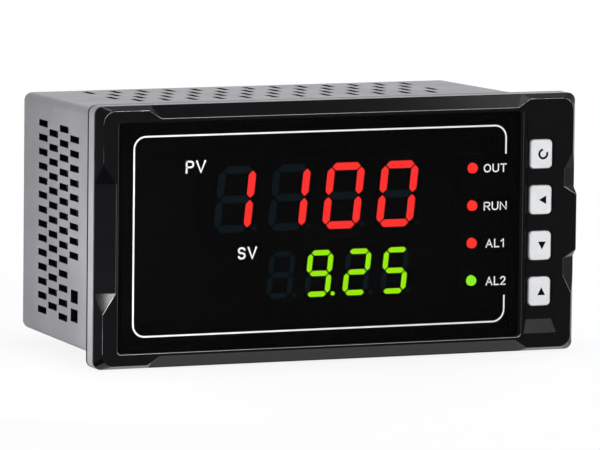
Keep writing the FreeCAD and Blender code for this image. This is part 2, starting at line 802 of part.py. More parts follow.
def make_digits(name, text, point_after):
    pitch = number(name + "_digit_pitch")
    stroke = number(name + "_stroke")
    reach_x = (number(name + "_digit_width") - stroke) / 2
    reach_z = (number(name + "_digit_height") - stroke) / 2
    lean = math.tan(math.radians(number("digit_slant")))
    middle = number(f"{window_middle} + {name}_offset")
    lit = []
    dark = []
    for i, figure in enumerate(text):
        x = middle + pitch * (i - (len(text) - 1) / 2)
        place = FreeCAD.Vector(x, -number(segment_back), number(name + "_level"))
        for letter, ends in segment_ends.items():
            start, end = [FreeCAD.Vector(across * reach_x, up * reach_z, 0) for across, up in ends]
            group = lit if letter in figure_segments[figure] else dark
            group.append(segment_solid(start, end, stroke, lean, place))
        corner = FreeCAD.Vector(reach_x + stroke, -reach_z, 0)
        group = lit if i == point_after else dark
        group.append(point_solid(corner, lean, place, number("point_radius")))
    for state, solids in (("lit", lit), ("dark", dark)):
        feature = doc.addObject("Part::Feature", f"{name}_segments_{state}")
        feature.Shape = Part.makeCompound(solids)
        keep(feature, f"{name}_segments_{state}")

    body = new_body(name + "_display_housing")
    face = front_sketch(body, "face", board_front)
    wide = f"({len(text)} * {name}_digit_pitch / 2)"
    tall = f"({name}_digit_height / 2 + display_border)"
    rectangle(face, f"{window_middle} + {name}_offset - {wide}", f"{window_middle} + {name}_offset + {wide}",
              f"{name}_level - {tall}", f"{name}_level + {tall}")
    pad(body, face, "display_depth")


def make_lamps():
    tip = f"({window_back} - lamp_air)"
    base = f"({tip} - lamp_length)"
    for i, name in enumerate(("out", "run", "al1", "al2")):
        z = f"(lamp_level + lamp_pitch * {1.5 - i})"
        collar = post(f"lamp_{name}_collar", lamp_x, f"-{base}", z, "lamp_radius + lamp_collar",
                      "lamp_collar_depth", direction=(0, -1, 0))
        barrel = post(f"lamp_{name}_barrel", lamp_x, f"-{base}", z, "lamp_radius",
                      "lamp_length - lamp_radius", direction=(0, -1, 0))
        dome = post(f"lamp_{name}_dome", lamp_x, f"lamp_radius - {tip}", z, "lamp_radius", None,
                    kind="Sphere")
        members = [collar, barrel, dome]
        for side in (-1, 1):
            x = f"{lamp_x} + {side} * lead_pitch / 2"
            lead = block(f"lamp_{name}_lead_{side + 1}", (f"{x} - lead_width / 2", f"{x} + lead_width / 2"),
                         (f"-{base}", f"-{board_front}"), (f"{z} - lead_width / 2", f"{z} + lead_width / 2"))
            members.append(lead)
        keep(joined("MultiFuse", "lamp_" + name, members), "lamp_" + name)

    holder = new_body("lamp_holder")
    outline = front_sketch(holder, "outline", board_front)
    wide = "(lamp_radius + lamp_holder_border)"
    tall = f"(1.5 * lamp_pitch + {wide})"
    rectangle(outline, f"{lamp_x} - {wide}", f"{lamp_x} + {wide}", f"lamp_level - {tall}",
              f"lamp_level + {tall}")
    pad(holder, outline, f"{tip} - lamp_radius - {board_front}")
    bores = front_sketch(holder, "bores", f"{tip} - lamp_radius")
    wells = front_sketch(holder, "wells", f"{base} + lamp_collar_depth + lamp_clearance")
    for i in range(4):
        z = f"(lamp_level + lamp_pitch * {1.5 - i})"
        circle(bores, lamp_x, z, "lamp_radius + lamp_clearance")
        circle(wells, lamp_x, z, "lamp_radius + lamp_collar + lamp_clearance")
    pocket(holder, bores, f"{tip} - {board_front}")
    pocket(holder, wells, f"{base} + lamp_collar_depth + lamp_clearance - {board_front}")


def make_display_board():
    body = new_body("display_board")
    sheet_outline = front_sketch(body, "outline", board_back)
    wide = f"({case_half_width} - case_wall - board_clearance)"
    tall = f"({tongue_inner} - board_clearance)"
    rectangle(sheet_outline, f"-{wide}", wide, f"-{tall}", tall)
    for across, up in corner_signs:
        circle(sheet_outline, f"{across} * board_boss_half_span", f"{up} * {boss_level}",
               "board_screw_radius + screw_clearance")
    pad(body, sheet_outline, "board_thickness")

    screws = new_body("display_board_screws")
    heads = front_sketch(screws, "heads", board_back)
    shanks = front_sketch(screws, "shanks", board_back)
    for across, up in corner_signs:
        x = f"{across} * board_boss_half_span"
        z = f"{up} * {boss_level}"
        circle(heads, x, z, "board_screw_head_radius")
        circle(shanks, x, z, "board_screw_radius")
    pad(screws, heads, "board_screw_head", reverse=True)
    pad(screws, shanks, "board_screw_length")


# Boards that run back from the display board to the terminals, with their parts facing each other

def make_main_boards():
    near = f"(-{board_back} + header_reach)"
    far = f"({cover_front} - main_board_end_gap)"
    headers = []
    for name, side in (("power_board", -1), ("signal_board", 1)):
        edges = sorted((f"{side} * {board_face}", f"{side} * ({board_face} + board_thickness)"), key=number)
        keep(block(name, (f"-{main_board_half}", main_board_half), (near, far), edges), name)
        edges = sorted((f"{side} * {board_face}", f"{side} * ({board_face} - header_height)"), key=number)
        headers.append(block(name + "_header", ("-header_half_length", "header_half_length"),
                             (f"-{board_back}", f"{near} + header_overlap"), edges))
    keep(joined("Compound", "board_headers", headers), "board_headers")


def make_transformer():
    core = new_body("transformer_core")
    # The core stands on the power board, and its plates lie in planes across the case
    outline = front_sketch(core, "plates", "-transformer_y - core_stack / 2")
    rectangle(outline, f"{transformer_x} - core_width / 2", f"{transformer_x} + core_width / 2",
              f"-{board_face}", f"core_height - {board_face}")
    for side in (-1, 1):
        middle = f"({transformer_x} + {side} * (core_leg + core_window) / 2)"
        rectangle(outline, f"{middle} - core_window / 2", f"{middle} + core_window / 2",
                  f"core_yoke - {board_face}", f"core_height - core_yoke - {board_face}")
    pad(core, outline, "core_stack")

    coil = new_body("transformer_coil")
    turn = new_sketch(coil, "turns", "XY_Plane", f"core_yoke + coil_clearance - {board_face}")
    wide = "(core_leg / 2 + core_window - coil_clearance)"
    deep = "(core_stack / 2 + coil_overhang)"
    rounded_rectangle(turn, f"{transformer_x} - {wide}", f"{transformer_x} + {wide}",
                      f"transformer_y - {deep}", f"transformer_y + {deep}", "coil_overhang / 2")
    wide = "(core_leg / 2 + coil_clearance)"
    deep = "(core_stack / 2 + coil_clearance)"
    rectangle(turn, f"{transformer_x} - {wide}", f"{transformer_x} + {wide}",
              f"transformer_y - {deep}", f"transformer_y + {deep}")
    pad(coil, turn, "core_height - 2 * core_yoke - 2 * coil_clearance")


def make_board_parts():
    keep(post("bulk_capacitor", bulk_x, "bulk_y", f"-{board_face}", "bulk_radius", "bulk_height"),
         "bulk_capacitor")

    cans = new_body("filter_capacitors")
    round_can = new_sketch(cans, "can", "XY_Plane", f"-{board_face}")
    circle(round_can, filter_x, "filter_y", "filter_radius")
    repeat(cans, [pad(cans, round_can, "filter_height")], round_can, "H_Axis", "filter_count", "filter_pitch")

    relays = new_body("relays")
    case = new_sketch(relays, "case", "XY_Plane", board_face)
    rectangle(case, f"{relay_x} - relay_length / 2", f"{relay_x} + relay_length / 2",
              "relay_y - relay_width / 2", "relay_y + relay_width / 2")
    body = pad(relays, case, "relay_height", reverse=True)
    repeat(relays, [body], case, "H_Axis", "relay_count", "relay_pitch")

    keep(block("controller_chip", (f"{chip_x} - chip_width / 2", f"{chip_x} + chip_width / 2"),
               ("chip_y - chip_width / 2", "chip_y + chip_width / 2"),
               (f"{board_face} - chip_height", board_face)), "controller_chip")


# Rear cover with its four screws, and two barrier strips that stand out through it

def make_rear_cover():
    body = new_body("rear_cover")
    plate = front_sketch(body, "plate", "-case_depth")
    wide = f"({rear_half_width} - case_wall - cover_clearance)"
    tall = f"({rear_half_height} - case_wall - cover_clearance)"
    rounded_rectangle(plate, f"-{wide}", wide, f"-{tall}", tall, "cover_corner")
    wide = f"({terminal_half_length} + terminal_clearance)"
    for side in (-1, 1):
        ends = sorted((f"{side} * ({board_face} + terminal_clearance)",
                       f"{side} * ({board_face} - terminal_height - terminal_clearance)"), key=number)
        rectangle(plate, f"-{wide}", wide, ends[0], ends[1])
    screws = new_body("rear_cover_screws")
    heads = front_sketch(screws, "heads", "-case_depth")
    shanks = front_sketch(screws, "shanks", "-case_depth")
    recesses = front_sketch(screws, "recesses", "-case_depth - cover_screw_head")
    for across, up in corner_signs:
        x = f"{across} * {cover_boss_x}"
        z = f"{up} * {cover_boss_z}"
        circle(plate, x, z, "cover_screw_radius + screw_clearance")
        circle(heads, x, z, "cover_screw_head_radius")
        cross(recesses, x, z, "recess_half_length", "recess_half_width")
        circle(shanks, x, z, "cover_screw_radius")
    pad(body, plate, "cover_thickness")
    pad(screws, heads, "cover_screw_head", reverse=True)
    pad(screws, shanks, "cover_screw_length")
    pocket(screws, recesses, "recess_depth", reverse=True)


def make_terminals():
    for name, side in (("upper", 1), ("lower", -1)):
        outer = f"{side} * {board_face}"
        inner = f"{side} * ({board_face} - terminal_height)"
        floor_z = f"{side} * ({board_face} - terminal_height + terminal_floor)"
        past = f"{side} * ({board_face} + terminal_floor)"
        middle = f"{side} * ({board_face} - (terminal_height - terminal_floor) / 2)"
        well_half = "((terminal_pitch - terminal_rib) / 2)"

        strip = new_body("terminal_block_" + name)
        profile = front_sketch(strip, "profile", f"-{terminal_rear}")
        ends = sorted((outer, inner), key=number)
        rectangle(profile, f"-{terminal_half_length}", terminal_half_length, ends[0], ends[1])
        pad(strip, profile, f"{terminal_rear} - {cover_front} + terminal_inside")
        well = front_sketch(strip, "well", f"-{terminal_rear}")
        ends = sorted((floor_z, past), key=number)
        rectangle(well, f"{first_terminal} - {well_half}", f"{first_terminal} + {well_half}",
                  ends[0], ends[1])
        cut = pocket(strip, well, "terminal_well", reverse=True)
        repeat(strip, [cut], well, "H_Axis", "terminal_count", "terminal_pitch")
        bore = front_sketch(strip, "bore", f"-{well_floor}")
        circle(bore, first_terminal, middle, "terminal_screw_radius + screw_clearance")
        cut = pocket(strip, bore, "terminal_screw_length", reverse=True)
        repeat(strip, [cut], bore, "H_Axis", "terminal_count", "terminal_pitch")

        clamps = new_body("terminal_clamps_" + name)
        plate = front_sketch(clamps, "plate", f"-{well_floor} - clamp_thickness")
        half = f"({well_half} - clamp_gap)"
        rectangle(plate, f"{first_terminal} - {half}", f"{first_terminal} + {half}",
                  f"{middle} - {half}", f"{middle} + {half}")
        circle(plate, first_terminal, middle, "terminal_screw_radius + screw_clearance")
        solid = pad(clamps, plate, "clamp_thickness")
        repeat(clamps, [solid], plate, "H_Axis", "terminal_count", "terminal_pitch")

        screws = new_body("terminal_screws_" + name)
        head = front_sketch(screws, "head", f"-{well_floor} - clamp_thickness")
        circle(head, first_terminal, middle, "terminal_screw_head_radius")
        shank = front_sketch(screws, "shank", f"-{well_floor} - clamp_thickness")
        circle(shank, first_terminal, middle, "terminal_screw_radius")
        solid = [pad(screws, head, "terminal_screw_head", reverse=True)]
        solid.append(pad(screws, shank, "terminal_screw_length"))
        recess = front_sketch(screws, "recess", f"-{well_floor} - clamp_thickness - terminal_screw_head")
        cross(recess, first_terminal, middle, "recess_half_length", "recess_half_width")
        solid.append(pocket(screws, recess, "recess_depth", reverse=True))
        repeat(screws, solid, head, "H_Axis", "terminal_count", "terminal_pitch")


def check_and_write():
    doc.recompute()
    faults = [thing.Name for thing in doc.Objects if "Invalid" in thing.State or "Error" in thing.State]
    for piece in parts:
        if piece.Shape.isNull() or not piece.Shape.isValid() or not piece.Shape.Solids:
            faults.append(piece.Label)
    if faults:
        raise RuntimeError("faulty objects: " + ", ".join(faults))
    os.makedirs("parts", exist_ok=True)
    for piece in parts:
        piece.Shape.exportStep("parts/%s.step" % piece.Label)
        print("%-24s %3d solids %10.1f mm3" % (piece.Label, len(piece.Shape.Solids), piece.Shape.Volume))


make_case()
make_gasket()
make_bezel()
make_window()
make_keys()
make_digits("pv", "1100", None)
make_digits("sv", " 925", 1)
make_lamps()
make_display_board()
make_main_boards()
make_transformer()
make_board_parts()
make_rear_cover()
make_terminals()
check_and_write()
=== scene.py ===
import bmesh
import bpy
import math
from mathutils import Matrix, Vector


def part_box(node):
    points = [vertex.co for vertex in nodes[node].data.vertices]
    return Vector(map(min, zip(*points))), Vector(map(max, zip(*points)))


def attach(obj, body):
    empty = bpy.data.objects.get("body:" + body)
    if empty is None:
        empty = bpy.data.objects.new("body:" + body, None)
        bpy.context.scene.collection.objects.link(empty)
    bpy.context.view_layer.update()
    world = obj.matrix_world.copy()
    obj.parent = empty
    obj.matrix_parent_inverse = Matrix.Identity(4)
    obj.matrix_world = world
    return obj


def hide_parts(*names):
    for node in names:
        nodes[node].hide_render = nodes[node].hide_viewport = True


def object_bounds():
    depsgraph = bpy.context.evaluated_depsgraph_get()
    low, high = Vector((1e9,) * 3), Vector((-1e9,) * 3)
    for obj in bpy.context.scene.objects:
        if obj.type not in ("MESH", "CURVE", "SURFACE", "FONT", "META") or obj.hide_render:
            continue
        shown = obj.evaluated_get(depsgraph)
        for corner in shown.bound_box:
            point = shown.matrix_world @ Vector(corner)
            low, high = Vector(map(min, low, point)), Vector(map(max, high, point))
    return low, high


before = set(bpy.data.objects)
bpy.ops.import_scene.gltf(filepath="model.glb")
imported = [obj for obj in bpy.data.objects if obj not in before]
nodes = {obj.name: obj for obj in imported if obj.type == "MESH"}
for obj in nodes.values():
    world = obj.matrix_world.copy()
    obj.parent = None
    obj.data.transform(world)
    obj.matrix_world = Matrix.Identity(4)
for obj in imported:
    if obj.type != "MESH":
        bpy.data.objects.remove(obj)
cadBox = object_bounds()
print("frame loaded with", len(nodes), "nodes")

scene = bpy.context.scene
scene.view_settings.view_transform = "Standard"
mm = 0.001
weld = 0.001 * mm  # points nearer than this are one


# Finishes

screen = {"full": 255, "knee": 0.04045, "slope": 12.92, "offset": 0.055, "power": 2.4}
cloud = {"low": 0.3, "high": 0.7, "firstColour": 0.32, "secondColour": 0.68, "driftDetail": 2,
         "grainDetail": 3}


def linear(colour):
    # Screen colour from 0 to 255, to the shader's own scale
    levels = []
    for share in (c / screen["full"] for c in colour):
        if share < screen["knee"]:
            levels.append(share / screen["slope"])
        else:
            levels.append(((share + screen["offset"]) / (1 + screen["offset"])) ** screen["power"])
    return tuple(levels)


def newFinish(name):
    finish = bpy.data.materials.new(name)
    finish.use_nodes = True
    tree = finish.node_tree
    place = tree.nodes.new("ShaderNodeTexCoord")
    return finish, tree, tree.nodes["Principled BSDF"], place.outputs["Object"]


def noiseOn(tree, place, scale, detail, stretch=(1, 1, 1)):
    turn = tree.nodes.new("ShaderNodeMapping")
    turn.inputs["Scale"].default_value = stretch
    noise = tree.nodes.new("ShaderNodeTexNoise")
    noise.inputs["Scale"].default_value = scale
    noise.inputs["Detail"].default_value = detail
    tree.links.new(place, turn.inputs["Vector"])
    tree.links.new(turn.outputs["Vector"], noise.inputs["Vector"])
    return noise.outputs["Fac"]


def spread(tree, value, low, high):
    # Noise stays near its middle, so that middle is stretched over the range
    remap = tree.nodes.new("ShaderNodeMapRange")
    remap.inputs["From Min"].default_value = cloud["low"]
    remap.inputs["From Max"].default_value = cloud["high"]
    remap.inputs["To Min"].default_value = low
    remap.inputs["To Max"].default_value = high
    tree.links.new(value, remap.inputs["Value"])
    return remap.outputs["Result"]


def blendColours(tree, value, first, second):
    ramp = tree.nodes.new("ShaderNodeValToRGB")
    ramp.color_ramp.elements[0].position = cloud["firstColour"]
    ramp.color_ramp.elements[1].position = cloud["secondColour"]
    ramp.color_ramp.elements[0].color = (*linear(first), 1)
    ramp.color_ramp.elements[1].color = (*linear(second), 1)
    tree.links.new(value, ramp.inputs["Fac"])
    return ramp.outputs["Color"]


def dent(tree, value, depth):
    bump = tree.nodes.new("ShaderNodeBump")
    bump.inputs["Distance"].default_value = depth
    tree.links.new(value, bump.inputs["Height"])
    return bump.outputs["Normal"]


def moulded(name, look):
    # Plastic: a slow drift of the colour, and the mould's fine texture in gloss and relief
    finish, tree, shader, place = newFinish(name)
    drift = noiseOn(tree, place, look["drift"], cloud["driftDetail"])
    grain = noiseOn(tree, place, look["grain"], cloud["grainDetail"])
    tree.links.new(blendColours(tree, drift, *look["colours"]), shader.inputs["Base Color"])
    tree.links.new(spread(tree, grain, *look["roughness"]), shader.inputs["Roughness"])
    if "relief" in look:
        tree.links.new(dent(tree, grain, look["relief"]), shader.inputs["Normal"])
    shader.inputs["Specular IOR Level"].default_value = look["specular"]
    return finish


def metal(name, look):
    # Plated metal with fine drawn lines
    finish, tree, shader, place = newFinish(name)
    lines = noiseOn(tree, place, look["grain"], cloud["driftDetail"], look["stretch"])
    tree.links.new(blendColours(tree, lines, *look["colours"]), shader.inputs["Base Color"])
    tree.links.new(spread(tree, lines, *look["roughness"]), shader.inputs["Roughness"])
    tree.links.new(dent(tree, lines, look["relief"]), shader.inputs["Normal"])
    shader.inputs["Metallic"].default_value = 1.0
    return finish


def lit(name, look):
    # Cast light window or lamp: the glow is plain, and the body under it has a faint cloud
    finish = moulded(name, look)
    shader = finish.node_tree.nodes["Principled BSDF"]
    shader.inputs["Emission Color"].default_value = (*linear(look["glow"]), 1)
    shader.inputs["Emission Strength"].default_value = look["strength"]
    return finish


def counted(tree, operation, *values):
    step = tree.nodes.new("ShaderNodeMath")
    step.operation = operation
    for socket, value in zip(step.inputs, values):
        if isinstance(value, float):
            socket.default_value = value
        else:
            tree.links.new(value, socket)
    return step.outputs["Value"]


def axesOf(tree, socket):
    parts = tree.nodes.new("ShaderNodeSeparateXYZ")
    tree.links.new(socket, parts.inputs["Vector"])
    return [parts.outputs[axis] for axis in "XYZ"]


def paintOver(tree, share, colour):
    # A second colour over the finish's own, as far as the share goes
    base = tree.nodes["Principled BSDF"].inputs["Base Color"]
    mix = tree.nodes.new("ShaderNodeMix")
    mix.data_type = "RGBA"
    tree.links.new(share, mix.inputs["Factor"])
    tree.links.new(base.links[0].from_socket, mix.inputs["A"])
    mix.inputs["B"].default_value = (*linear(colour), 1)
    tree.links.new(mix.outputs["Result"], base)


def dress(finish, *names):
    for name in names:
        nodes[name].data.materials.clear()
        nodes[name].data.materials.append(finish)


# Sleeve and rear cover

caseLook = {"colours": ((141, 141, 145), (152, 152, 156)), "drift": 45, "grain": 5200, "relief": 0.00003,
            "roughness": (0.5, 0.66), "specular": 0.12}
# Painted shade inside the sleeve: outer wall sizes with their drafts, the corner, the skin left grey, the
# front and rear ends, and the shade's colour
caseInsideShade = {"wide": 75.16, "wideDraft": 0.0395, "tall": 37.69, "tallDraft": 0.0092, "corner": 2.5,
            "skin": 0.08, "front": 0.2, "rear": 72.3, "colour": (4, 4, 4)}


def shadedInside(name, look, insideShade):
    # Painted shade: the sleeve is painted near black inside and on its slot walls, more than a thin skin
    # under the drafted outer walls, where shade falls in the hollow sleeve and its slots
    finish = moulded(name, look)
    tree = finish.node_tree
    place = tree.nodes.new("ShaderNodeTexCoord")
    x, y, z = axesOf(tree, place.outputs["Object"])
    wall = counted(tree, "MULTIPLY_ADD", y, -insideShade["wideDraft"], insideShade["wide"] * mm)
    roof = counted(tree, "MULTIPLY_ADD", y, -insideShade["tallDraft"], insideShade["tall"] * mm)
    fromWall = counted(tree, "SUBTRACT", wall, counted(tree, "ABSOLUTE", x))
    fromRoof = counted(tree, "SUBTRACT", roof, counted(tree, "ABSOLUTE", z))
    bend = insideShade["corner"] * mm
    across = counted(tree, "MAXIMUM", counted(tree, "SUBTRACT", bend, fromWall), 0.0)
    over = counted(tree, "MAXIMUM", counted(tree, "SUBTRACT", bend, fromRoof), 0.0)
    square = counted(tree, "MULTIPLY_ADD", across, across, counted(tree, "MULTIPLY", over, over))
    reach = counted(tree, "SQRT", square)
    under = counted(tree, "LESS_THAN", reach, bend - insideShade["skin"] * mm)
    behind = counted(tree, "GREATER_THAN", y, insideShade["front"] * mm)
    before = counted(tree, "LESS_THAN", y, insideShade["rear"] * mm)
    inside = counted(tree, "MULTIPLY", under, counted(tree, "MULTIPLY", behind, before))
    # Painted shade: near black over the grey on the inside and on the slot walls
    paintOver(tree, inside, insideShade["colour"])
    return finish


dress(shadedInside("sleeveGrey", caseLook, caseInsideShade), "rear_case")
dress(moulded("caseGrey", caseLook), "rear_cover")
print("sleeve and rear cover dressed")


# Bezel

# Bezel finish; the specular level is raised on faces leaning down as a painted reflection, and cut on facets
# leaning left and a little down as painted shade
bezelLook = {"colours": ((6, 7, 8), (9, 9, 11)), "drift": 60, "grain": 6500, "relief": 0.000002,
             "roughness": (0.16, 0.22), "specular": 0.065, "skirt": -5.4, "under": -0.45, "paintedReflection": 0.35,
             "aside": -0.3, "below": -0.2}
# Painted highlight on the bezel's rounded front edges: the range of normals that finds them, its near-white
# colour, and how much more it shows where the edges face up
bezelEdgeHighlight = {"flattest": -0.998, "steepest": -0.958, "colour": (240, 242, 246), "side": 0.1, "rise": 4.5}


def edgedBlack(name, look, edge):
    # Painted shade and light by face direction: no gloss on the skirt inside the sleeve or on facets that
    # lean left and a little down (painted shade), more gloss on the lower bands (painted reflection), and a
    # near-white painted highlight on the rounded front edges, more on those that face up
    finish = moulded(name, look)
    tree = finish.node_tree
    shader = tree.nodes["Principled BSDF"]
    place = tree.nodes.new("ShaderNodeTexCoord")
    depth = axesOf(tree, place.outputs["Object"])[1]
    leanX, leanY, leanZ = axesOf(tree, place.outputs["Normal"])
    front = counted(tree, "LESS_THAN", depth, look["skirt"] * mm)
    under = counted(tree, "LESS_THAN", leanZ, look["under"])
    aside = counted(tree, "LESS_THAN", leanX, look["aside"])
    below = counted(tree, "LESS_THAN", leanZ, look["below"])
    # Painted shade: facets leaning left and a little down lose their gloss
    shaded = counted(tree, "MULTIPLY", aside, counted(tree, "SUBTRACT", below, under))
    # Painted reflection: faces leaning down get a higher specular level
    gloss = counted(tree, "MULTIPLY_ADD", under, look["paintedReflection"], look["specular"])
    gloss = counted(tree, "MULTIPLY", gloss, counted(tree, "SUBTRACT", 1.0, shaded))
    # The skirt inside the sleeve gets no gloss at all, as painted shade
    tree.links.new(counted(tree, "MULTIPLY", front, gloss), shader.inputs["Specular IOR Level"])
    # Painted highlight: near-white colour on the rounded front edges, whose normals lie just off straight
    # ahead, more on those facing up
    turned = counted(tree, "GREATER_THAN", leanY, edge["flattest"])
    nearly = counted(tree, "LESS_THAN", leanY, edge["steepest"])
    rounded = counted(tree, "MULTIPLY", turned, nearly)
    rise = counted(tree, "MULTIPLY_ADD", leanZ, edge["rise"], edge["side"])
    upward = counted(tree, "MAXIMUM", rise, 0.0)
    paintedHighlight = counted(tree, "MULTIPLY", rounded, counted(tree, "MULTIPLY", front, upward))
    paintOver(tree, paintedHighlight, edge["colour"])
    return finish


dress(edgedBlack("bezelBlack", bezelLook, bezelEdgeHighlight), "front_bezel")
print("bezel dressed")


# Keys, switches and plungers

keyLook = {"colours": ((232, 234, 237), (239, 240, 243)), "drift": 180, "grain": 5200, "relief": 0.00001,
           "roughness": (0.4, 0.55), "specular": 0.1}
switchLook = {"colours": ((18, 18, 20), (26, 26, 28)), "drift": 220, "grain": 4200, "relief": 0.00001,
              "roughness": (0.4, 0.55), "specular": 0.4}

switchBlack = moulded("switchBlack", switchLook)
dress(moulded("keyWhite", keyLook), "key_cycle", "key_left", "key_down", "key_up")
dress(switchBlack, "plunger_cycle", "plunger_left", "plunger_down", "plunger_up")
dress(switchBlack, "key_switches", "board_headers")
print("keys dressed")


# Digits and lamps

displayLook = {"colours": ((3, 3, 3), (5, 5, 5)), "drift": 150, "grain": 3800, "relief": 0.00001,
               "roughness": (0.6, 0.75), "specular": 0.08}
ghostLook = {"colours": ((56, 92, 108), (64, 102, 118)), "drift": 300, "grain": 2500, "relief": 0.00001,
             "roughness": (0.45, 0.6), "specular": 0.06}
redLook = {"colours": ((150, 22, 20), (170, 28, 24)), "drift": 500, "grain": 2500, "relief": 0.00001,
           "roughness": (0.4, 0.55), "specular": 0.1, "glow": (250, 50, 45), "strength": 4.4}
greenLook = {"colours": ((96, 150, 10), (110, 166, 14)), "drift": 500, "grain": 2500, "relief": 0.00001,
             "roughness": (0.4, 0.55), "specular": 0.1, "glow": (152, 232, 10), "strength": 4.4}
redLampLook = {"colours": ((160, 24, 22), (176, 30, 26)), "drift": 600, "grain": 2500, "relief": 0.00001,
               "roughness": (0.3, 0.42), "specular": 0.1, "glow": (255, 52, 44), "strength": 4.4}
greenLampLook = {"colours": ((100, 160, 30), (112, 174, 36)), "drift": 600, "grain": 2500, "relief": 0.00001,
                 "roughness": (0.3, 0.42), "specular": 0.1, "glow": (140, 240, 40), "strength": 4.4}

dress(moulded("displayBlack", displayLook), "pv_display_housing", "sv_display_housing", "lamp_holder")
dress(moulded("segmentDark", ghostLook), "pv_segments_dark", "sv_segments_dark")
dress(lit("segmentRed", redLook), "pv_segments_lit")
dress(lit("segmentGreen", greenLook), "sv_segments_lit")
dress(lit("lampRed", redLampLook), "lamp_out", "lamp_run", "lamp_al1")
dress(lit("lampGreen", greenLampLook), "lamp_al2")
print("digits and lamps dressed")


# Boards and what they carry

maskLook = {"colours": ((3, 4, 4), (5, 6, 6)), "drift": 300, "grain": 900, "relief": 0.00002,
            "roughness": (0.5, 0.64), "specular": 0.08}
boardLook = {"colours": ((16, 84, 52), (26, 104, 64)), "drift": 420, "grain": 900, "relief": 0.00003,
             "roughness": (0.26, 0.4), "specular": 0.5}
chipLook = {"colours": ((22, 22, 23), (30, 30, 31)), "drift": 400, "grain": 6000, "relief": 0.00001,
            "roughness": (0.5, 0.64), "specular": 0.4}
relayLook = {"colours": ((20, 66, 128), (28, 78, 142)), "drift": 150, "grain": 4200, "relief": 0.00001,
             "roughness": (0.26, 0.38), "specular": 0.5}
sleeveLook = {"colours": ((22, 30, 52), (30, 40, 66)), "drift": 260, "grain": 2600, "relief": 0.00002,
              "roughness": (0.22, 0.34), "specular": 0.5}
coilLook = {"colours": ((196, 158, 40), (214, 178, 58)), "drift": 380, "grain": 1400, "relief": 0.00004,
            "roughness": (0.34, 0.5), "specular": 0.5}
coreLook = {"colours": ((46, 46, 49), (96, 96, 100)), "grain": 900, "stretch": (0.02, 3, 0.02),
            "relief": 0.0001, "roughness": (0.35, 0.55)}

dress(moulded("boardBlack", maskLook), "display_board")
dress(moulded("boardGreen", boardLook), "power_board", "signal_board")
dress(moulded("chipBlack", chipLook), "controller_chip")
dress(moulded("relayBlue", relayLook), "relays")
dress(moulded("capacitorSleeve", sleeveLook), "bulk_capacitor", "filter_capacitors")
dress(moulded("coilTape", coilLook), "transformer_coil")
dress(metal("coreIron", coreLook), "transformer_core")
print("boards dressed")


# Terminals and screws

terminalLook = {"colours": ((27, 27, 29), (34, 34, 36)), "drift": 120, "grain": 4200, "relief": 0.00002,
                "roughness": (0.38, 0.52), "specular": 0.4}
nickelLook = {"colours": ((176, 170, 158), (204, 199, 188)), "grain": 1700, "stretch": (1, 8, 1),
              "relief": 0.00001, "roughness": (0.22, 0.36)}
zincLook = {"colours": ((168, 170, 172), (196, 198, 200)), "grain": 1500, "stretch": (1, 8, 1),
            "relief": 0.00001, "roughness": (0.24, 0.4)}

nickel = metal("nickelPlate", nickelLook)
dress(moulded("terminalBlack", terminalLook), "terminal_block_upper", "terminal_block_lower")
dress(nickel, "terminal_clamps_upper", "terminal_clamps_lower")
dress(nickel, "terminal_screws_upper", "terminal_screws_lower")
dress(metal("zincPlate", zincLook), "display_board_screws", "rear_cover_screws")
print("terminals and screws dressed")


# New pieces

def newPiece(name, mesh, finish, body):
    piece = bpy.data.objects.new(name, mesh)
    scene.collection.objects.link(piece)
    mesh.materials.clear()
    mesh.materials.append(finish)
    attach(piece, body)
    return piece


def meshFrom(shape, name):
    mesh = bpy.data.meshes.new(name)
    shape.to_mesh(mesh)
    shape.free()
    return mesh


def pointsIn(geom):
    return [g for g in geom if isinstance(g, bmesh.types.BMVert)]


def edgesIn(geom):
    return [g for g in geom if isinstance(g, bmesh.types.BMEdge)]


def thicken(shape, depth):
    # A flat sheet gets its thickness: towards the viewer where the depth is negative
    grown = bmesh.ops.extrude_face_region(shape, geom=shape.faces[:], use_keep_orig=True)["geom"]
    bmesh.ops.translate(shape, verts=pointsIn(grown), vec=(0, depth, 0))
    bmesh.ops.recalc_face_normals(shape, faces=shape.faces)


# Segments, trimmed so that a dark gap parts each from the next

segments = {"trim": 0.16, "flat": 1, "nodes": {
    "pv_segments_lit": "segment_red", "pv_segments_dark": "segment_dark",
    "sv_segments_lit": "segment_green", "sv_segments_dark": "segment_dark"}}


def trimSegments(name):
    low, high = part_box(name)
    shape = bmesh.new()
    shape.from_mesh(nodes[name].data)
    bmesh.ops.remove_doubles(shape, verts=shape.verts, dist=weld)
    hidden = [f for f in shape.faces if f.calc_center_median().y > low.y + weld]
    bmesh.ops.delete(shape, geom=hidden, context="FACES")
    flat = math.radians(segments["flat"])
    bmesh.ops.dissolve_limit(shape, angle_limit=flat, verts=shape.verts, edges=shape.edges)
    trim = segments["trim"] * mm
    ring = bmesh.ops.inset_individual(shape, faces=shape.faces, thickness=trim, use_even_offset=True)
    bmesh.ops.delete(shape, geom=ring["faces"], context="FACES")
    thicken(shape, high.y - low.y)
    return meshFrom(shape, name)


for name, slot in segments["nodes"].items():
    piece = newPiece(name + "_cast", trimSegments(name), nodes[name].data.materials[0], "housing")
    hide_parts(name)
print("segments trimmed")


# Gasket, pressed out until its rim is flush with the flange

gasketLook = {"colours": ((14, 14, 14), (20, 20, 20)), "drift": 90, "grain": 3200, "relief": 0.00003,
              "roughness": (0.7, 0.85), "specular": 0.2}
gasket = {"press": 0.2, "rimWide": 76.5, "rimTall": 38.8}


